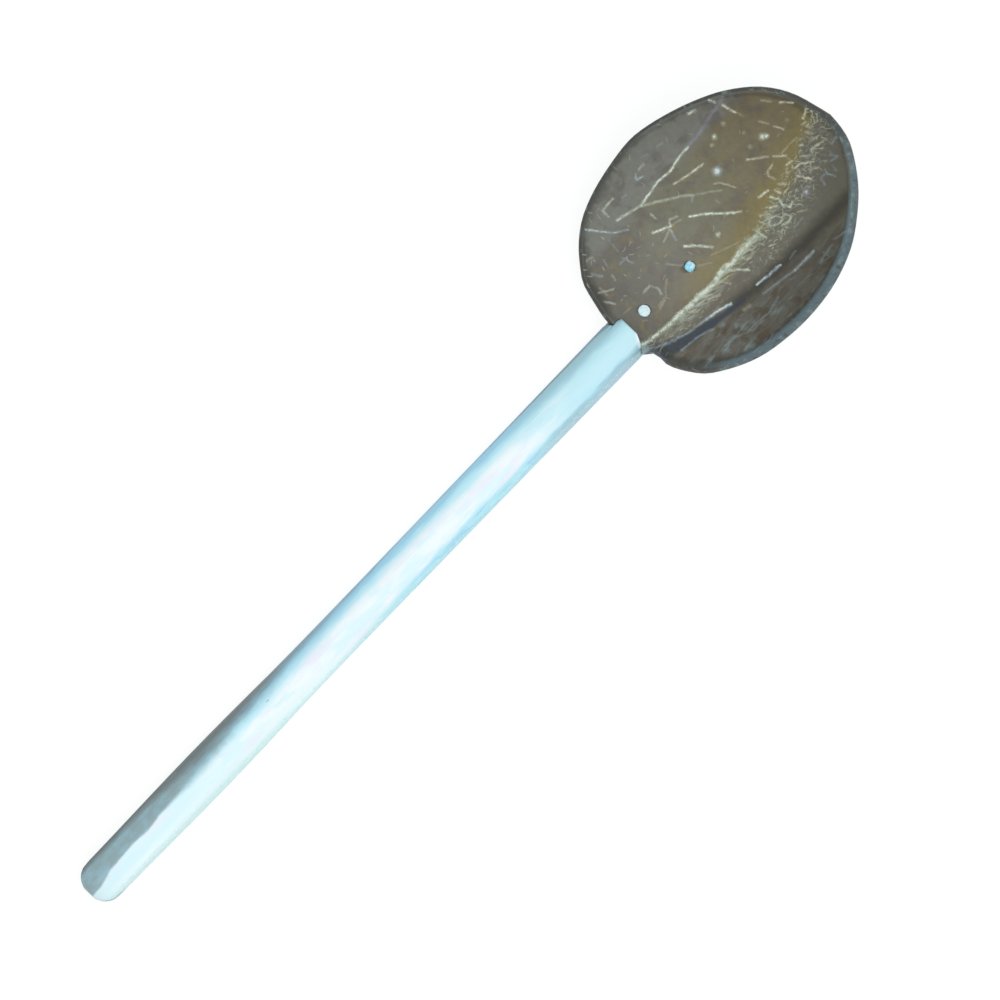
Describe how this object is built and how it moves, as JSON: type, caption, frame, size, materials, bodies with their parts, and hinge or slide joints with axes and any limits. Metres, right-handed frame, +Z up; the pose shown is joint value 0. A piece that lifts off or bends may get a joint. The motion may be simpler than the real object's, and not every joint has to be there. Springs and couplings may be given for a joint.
{
  "type": "coconut shell ladle",
  "caption": "Long-handled ladle: an oval bowl cut from coconut shell, seated on the lapped end of a wooden stick and held by wooden pegs.",
  "frame": {"origin": "on the plane the ladle rests on, under the middle of its bounding box", "axes": "+X along the stick from the butt to the bowl, +Z up out of the open side of the bowl"},
  "size_m": [0.376, 0.0884, 0.0536],
  "materials": {
    "shell": "polished coconut shell, olive brown with pale flecks and veins",
    "stick_wood": "pale bare wood, smooth",
    "peg_wood": "pale bare end grain"
  },
  "bodies": {
    "root": {"shell_bowl": "shell", "handle": "stick_wood", "peg_near": "peg_wood", "peg_far": "peg_wood"}
  },
  "joints": []
}
